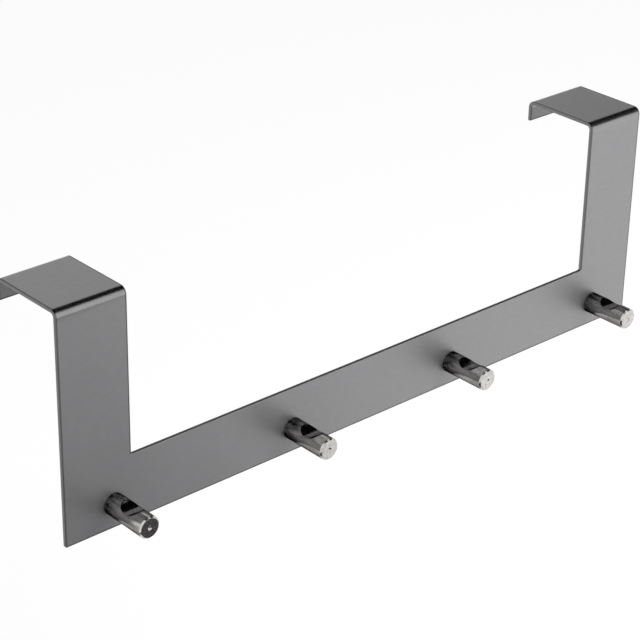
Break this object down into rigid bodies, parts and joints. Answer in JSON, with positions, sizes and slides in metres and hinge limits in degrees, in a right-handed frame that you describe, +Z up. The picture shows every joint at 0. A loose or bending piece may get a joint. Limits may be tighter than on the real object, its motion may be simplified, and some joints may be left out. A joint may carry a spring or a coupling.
{
  "type": "over door hook rail",
  "caption": "Folded steel bar that hangs over the top of a door by two straps, with a row of round polished pegs, each with a saddle for a hanger.",
  "frame": {"origin": "on the face that lies against the door, midway along the bar, at the height of the pegs' axes", "axes": "+Z up, +X along the bar, +Y into the door; the pegs point to -Y"},
  "size_m": [0.4, 0.0765, 0.1265],
  "materials": {
    "satin_steel": "fine satin",
    "polished_steel": "mirror polish",
    "screw_steel": "plain turned"
  },
  "bodies": {
    "root": {"hanger_plate": "satin_steel", "peg_1": "polished_steel", "peg_2": "polished_steel", "peg_3": "polished_steel", "peg_4": "polished_steel", "peg_screws": "screw_steel"}
  },
  "joints": []
}
